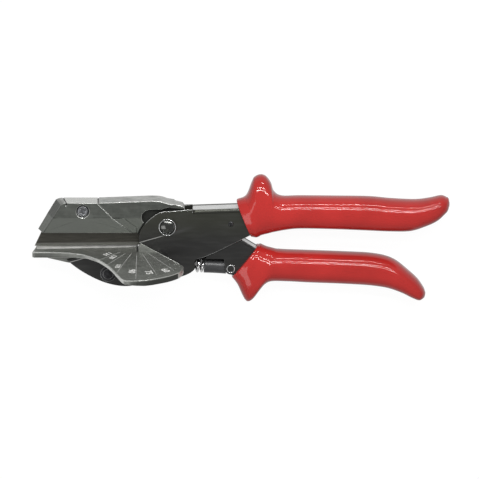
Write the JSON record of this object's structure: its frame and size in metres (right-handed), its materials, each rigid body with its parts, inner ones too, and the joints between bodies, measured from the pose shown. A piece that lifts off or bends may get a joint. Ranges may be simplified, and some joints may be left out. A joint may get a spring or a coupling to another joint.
{
  "type": "mitre shears",
  "caption": "Hand shears for mitring trim: a trapezoid blade clamped in a cast head closes on a padded table with a mitre scale, worked by sprung levers with dipped grips",
  "frame": {"origin": "centre of the pivot nut's outer face, the face on which the tool rests when it lies on its side", "axes": "X from the jaws (negative) to the grips (positive); Y across the levers, positive on the side of the blade head; Z along the pivot axis, positive up from the resting plane, towards the side with the mitre scale"},
  "size_m": [0.225, 0.0696, 0.0604],
  "materials": {
    "cast_grey": "satin",
    "clamp_grey": "satin",
    "blued_steel": "satin",
    "blade_steel": "ground",
    "bright_steel": "polished",
    "dark_steel": "satin",
    "red_vinyl": "dipped gloss",
    "black_rubber": "matte",
    "pale_nylon": "matte",
    "bronze": "plain"
  },
  "bodies": {
    "anvil_lever": {"upper_handle_channel": "blued_steel", "upper_grip": "red_vinyl", "angle_table": "cast_grey", "anvil_pad": "pale_nylon", "table_screw": "dark_steel", "table_nut": "dark_steel", "table_rivet": "dark_steel", "pivot_bolt": "bright_steel", "pivot_washer": "bright_steel", "pivot_nut": "bright_steel", "spring_anchor_pin": "dark_steel"},
    "blade_lever": {"lower_handle_channel": "blued_steel", "lower_grip": "red_vinyl", "blade_head": "cast_grey", "blade_clamp": "clamp_grey", "blade": "blade_steel", "clamp_screw": "bright_steel", "blade_pin_front": "bright_steel", "blade_pin_rear": "bright_steel", "head_rivet_front": "dark_steel", "head_rivet_rear": "dark_steel", "spring_rivet": "bright_steel", "catch_pin": "dark_steel", "pivot_bush": "bronze"},
    "latch": {"latch_pin": "dark_steel", "latch_hook": "dark_steel", "latch_lever": "dark_steel"},
    "spring_coil": {"opening_spring": "bright_steel"},
    "sleeve": {"spring_sleeve": "black_rubber"}
  },
  "joints": [
    {"name": "jaw_opening", "type": "hinge", "parent": "anvil_lever", "child": "blade_lever", "pos_m": [0, 0, 0.0105], "axis": [0, 0, -1], "range_deg": [0, 24]},
    {"name": "latch_turn", "type": "hinge", "parent": "anvil_lever", "child": "latch", "pos_m": [0.03418, 0.00161, 0.0105], "axis": [0, 0, 1], "range_deg": [0, 20]},
    {"name": "spring_swing", "type": "hinge", "parent": "anvil_lever", "child": "spring_coil", "pos_m": [0.01154, -0.02233, 0.0105], "axis": [0, 0, -1], "range_deg": [0, 49.5], "deforming": ["opening_spring"]},
    {"name": "sleeve_swing", "type": "hinge", "parent": "blade_lever", "child": "sleeve", "pos_m": [0.03418, -0.02352, 0.0105], "axis": [0, 0, -1], "range_deg": [0, 25.5]}
  ],
  "couplings": [
    {"joint": "spring_swing", "follows": "jaw_opening", "ratio": 2.05},
    {"joint": "sleeve_swing", "follows": "jaw_opening", "ratio": 1.05}
  ]
}
